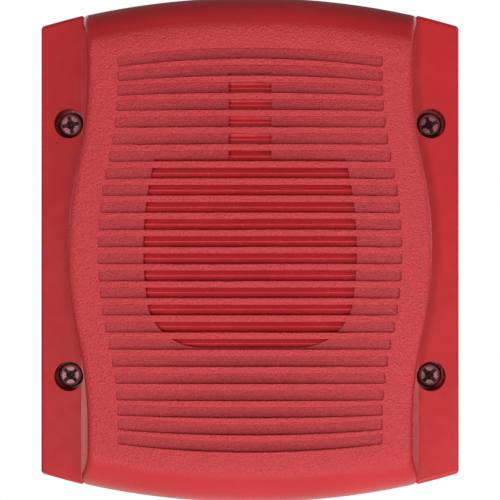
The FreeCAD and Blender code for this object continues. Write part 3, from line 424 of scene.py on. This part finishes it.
box_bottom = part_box("back_box")[0].z
plug_low, plug_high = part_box("conduit_plug")
mesh = helix_mesh("conduit_thread", (plug_low + plug_high) / 2, "Z",
                  box_bottom + CONDUIT_THREAD_INSET, CONDUIT_THREAD_LENGTH,
                  CONDUIT_THREAD_PITCH, CONDUIT_ROOT_R, CONDUIT_CREST_R, CONDUIT_FLANK)
piece("conduit_entry_thread", mesh, "root", finishes["box_red"])

# Turns of wire on the inductor
WIRE_END_GAP = 0.35 * MM
WIRE_PITCH = 0.62 * MM
WIRE_SUNK = 0.05 * MM
WIRE_PROUD = 0.24 * MM
WIRE_FLANK = 0.29 * MM

low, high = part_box("inductor_winding")
middle = (low + high) / 2
winding_r = (high.x - low.x) / 2
mesh = helix_mesh("winding", middle, "Y", low.y + WIRE_END_GAP,
                  high.y - low.y - 2 * WIRE_END_GAP, WIRE_PITCH, winding_r - WIRE_SUNK,
                  winding_r + WIRE_PROUD, WIRE_FLANK)
piece("inductor_wire_turns", mesh, "front_unit", finishes["copper_wire"])

board_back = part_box("circuit_board")[1].y


def add_block(build, centre, size, bevel=0.0):
    """A box with its edges eased, added to a mesh under construction."""
    made = bmesh.ops.create_cube(build, size=1.0)["verts"]
    for vert in made:
        vert.co = Vector(centre) + Vector([vert.co[i] * size[i] for i in range(3)])
    if bevel:
        edges = dict.fromkeys(edge for vert in made for edge in vert.link_edges)
        bmesh.ops.bevel(build, geom=list(edges), offset=bevel, segments=2, affect="EDGES")


def add_dome(build, x, z, base_y, radius, height):
    """A solder fillet: a low, concave cone that stands on the board."""
    rings = []
    sides = 14
    for share, rise in ((1.0, 0.0), (0.72, 0.22), (0.45, 0.62), (0.26, 1.0)):
        ring = []
        for step in range(sides):
            angle = 2 * math.pi * step / sides
            ring.append(build.verts.new((x + radius * share * math.cos(angle),
                                         base_y + height * rise,
                                         z + radius * share * math.sin(angle))))
        rings.append(ring)
    for one, two in zip(rings, rings[1:]):
        for i in range(sides):
            j = (i + 1) % sides
            build.faces.new((one[i], one[j], two[j], two[i]))
    build.faces.new(rings[-1])
    build.faces.new(list(reversed(rings[0])))


# Small surface-mount parts, their solder, and the chips' legs. Places are millimetres from the
# middle of the unit.
PART_LONG = 2.0 * MM
PART_SHORT = 1.2 * MM
PART_THICK = 0.55 * MM
CAP_THICK = 0.58 * MM
CAP_LONG = 0.5 * MM
CAP_WIDE = PART_SHORT * 1.05

places = [(-4, -28), (4, -28), (-30, 2), (-30, -20), (30, 2), (30, -20), (0, -2), (0, -14),
          (-12, 14), (12, 14), (12, 6), (-12, 6), (34, 14), (10, 38), (-10, 38)]
bodies = bmesh.new()
ends = bmesh.new()
for x_mm, z_mm in places:
    upright = random.random() < 0.5
    size = (PART_SHORT, PART_THICK, PART_LONG) if upright else (PART_LONG, PART_THICK, PART_SHORT)
    centre = (x_mm * MM, board_back + 0.30 * MM, z_mm * MM)
    add_block(bodies, centre, size, 0.06 * MM)
    for side in (-1, 1):
        shift = side * PART_LONG * 0.5
        spot = (centre[0] + (0 if upright else shift), centre[1] - 0.03 * MM,
                centre[2] + (shift if upright else 0))
        cap = (CAP_WIDE, CAP_THICK, CAP_LONG) if upright else (CAP_LONG, CAP_THICK, CAP_WIDE)
        add_block(ends, spot, cap, 0.09 * MM)

# Each row: centre x and z, half width and half height of the chip, and its leg pitch, in mm
chip_rows = ((0, 14, 5.0, 5.0, 1.0), (0, 30, 3.2, 2.6, 1.27), (-12, 30, 2.0, 1.5, 0.95),
             (12, 30, 2.0, 1.5, 0.95))
for cx, cz, half_w, half_h, pitch in chip_rows:
    count = int((half_h * 2 - 0.8) / pitch)
    for row in range(count):
        z_mm = cz + (row - (count - 1) / 2) * pitch
        for side in (-1, 1):
            foot = ((cx + side * (half_w + 0.55)) * MM, board_back + 0.14 * MM, z_mm * MM)
            shin = ((cx + side * (half_w + 0.18)) * MM, board_back + 0.42 * MM, z_mm * MM)
            add_block(ends, foot, (0.9 * MM, 0.16 * MM, 0.40 * MM), 0.04 * MM)
            add_block(ends, shin, (0.42 * MM, 0.56 * MM, 0.40 * MM), 0.06 * MM)
piece("board_chip_parts", finished(bodies, "board_chip_parts"), "front_unit",
      finishes["chip_black"], smooth=False)
bottom_joints = [(-18 + 12 * i, -45 + 1.6) for i in range(4)]
side_joints = [(33, 26), (33, 30)]
for x_mm, z_mm in bottom_joints + side_joints:
    add_dome(ends, x_mm * MM, z_mm * MM, board_back, 0.95 * MM, 0.8 * MM)
piece("board_solder", finished(ends, "board_solder"), "front_unit", solder)

# Position ticks printed round the two selectors: reach in mm, turn in degrees, number of ticks
TICK_HALF_LONG = 0.6 * MM
TICK_HALF_WIDE = 0.14 * MM
TICK_HALF_THICK = 0.02 * MM

marks = bmesh.new()
for name, reach, turn, count in (("tone_selector_housing", 10.6, 210, 8),
                                 ("volume_selector_housing", 8.6, 90, 4)):
    low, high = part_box(name)
    middle = (low + high) / 2
    for step in range(count):
        angle = math.radians(90 - turn * step / (count - 1))
        out = Vector((math.cos(angle), 0, math.sin(angle)))
        across = Vector((-out.z, 0, out.x))
        spot = Vector((middle.x, board_back + TICK_HALF_THICK, middle.z)) + out * reach * MM
        rise = Vector((0, TICK_HALF_THICK, 0))
        corners = []
        for along, wide in ((-1, -1), (1, -1), (1, 1), (-1, 1)):
            corners.append(spot + out * along * TICK_HALF_LONG + across * wide * TICK_HALF_WIDE)
        top = [marks.verts.new(corner + rise) for corner in corners]
        base = [marks.verts.new(corner - rise) for corner in corners]
        marks.faces.new(top)
        marks.faces.new(list(reversed(base)))
        for i in range(4):
            j = (i + 1) % 4
            marks.faces.new((top[i], top[j], base[j], base[i]))
piece("selector_ticks", finished(marks, "selector_ticks"), "front_unit", ink,
      smooth=False)


# ---------------------------------------------------------------- stage

OBJECT_MIDDLE = (0, -0.06, 0)
WALL_MIDDLE = (0, 0, 0)


def lamp(name, place, aim, size, watts):
    data = bpy.data.lights.new(name, "AREA")
    data.shape = "DISK"
    data.size = size
    data.energy = watts
    obj = bpy.data.objects.new(name, data)
    obj.location = place
    obj.rotation_euler = (Vector(aim) - Vector(place)).to_track_quat("-Z", "Y").to_euler()
    bpy.context.scene.collection.objects.link(obj)


lamp("soft_low_right", (0.79, -0.72, -0.38), OBJECT_MIDDLE, 0.40, 3.5)
lamp("soft_low_left", (-0.79, -0.72, -0.38), OBJECT_MIDDLE, 0.40, 0.2)
lamp("soft_under", (0.37, -0.59, -0.55), OBJECT_MIDDLE, 0.30, 0.9)
lamp("front_right", (0.26, -1.10, -0.12), OBJECT_MIDDLE, 0.30, 1.9)
lamp("sheen_left", (-0.30, -1.05, -0.14), OBJECT_MIDDLE, 0.26, 4.3)
lamp("back_left", (-0.9, 1.2, 0.6), WALL_MIDDLE, 1.2, 7.0)
lamp("back_right", (1.0, 1.1, 0.5), WALL_MIDDLE, 1.2, 6.0)

FLOOR_R = 1.8
FLOOR_Z = -0.75
FLOOR_GLOW = 0.42

build = bmesh.new()
bmesh.ops.create_circle(build, cap_ends=True, segments=96, radius=FLOOR_R)
floor = bpy.data.objects.new("pale_floor", finished(build, "pale_floor"))
floor.location.z = FLOOR_Z
bpy.context.scene.collection.objects.link(floor)
pale = surface("floor_pale", (0.80, 0.80, 0.79), 0.60, spread=0.015, grain=(300, 0.02), blotch=6)
glow = pale.node_tree.nodes["Principled BSDF"].inputs
glow["Emission Color"].default_value = (1.0, 0.99, 0.98, 1.0)
glow["Emission Strength"].default_value = FLOOR_GLOW
floor.data.materials.append(pale)

# The studio looks white behind the object but lights it only faintly
world = bpy.data.worlds.new("pale_studio")
world.use_nodes = True
tree = world.node_tree
seen = tree.nodes.new("ShaderNodeBackground")
seen.inputs["Color"].default_value = (1, 1, 1, 1)
around = tree.nodes["Background"]
around.inputs["Color"].default_value = (0.20, 0.20, 0.205, 1)
rays = tree.nodes.new("ShaderNodeLightPath")
either = tree.nodes.new("ShaderNodeMixShader")
tree.links.new(rays.outputs["Is Camera Ray"], either.inputs[0])
tree.links.new(around.outputs[0], either.inputs[1])
tree.links.new(seen.outputs[0], either.inputs[2])
tree.links.new(either.outputs[0], tree.nodes["World Output"].inputs["Surface"])
bpy.context.scene.world = world
bpy.context.scene.view_settings.view_transform = "Standard"

# The camera stands square in front, DISTANCE from the plane of the cover's outline, and sees
# IMAGE_SPAN of that plane from side to side
DISTANCE = 0.600
OUTLINE_Y = -0.057
IMAGE_SPAN = 0.1526
camera_data = bpy.data.cameras.new("front_camera")
camera_data.angle = 2 * math.atan(0.5 * IMAGE_SPAN / DISTANCE)
camera = bpy.data.objects.new("front_camera", camera_data)
camera.location = (0.0, OUTLINE_Y - DISTANCE, 0.0)
camera.rotation_euler = (math.radians(90), 0, 0)
bpy.context.scene.collection.objects.link(camera)
bpy.context.scene.camera = camera
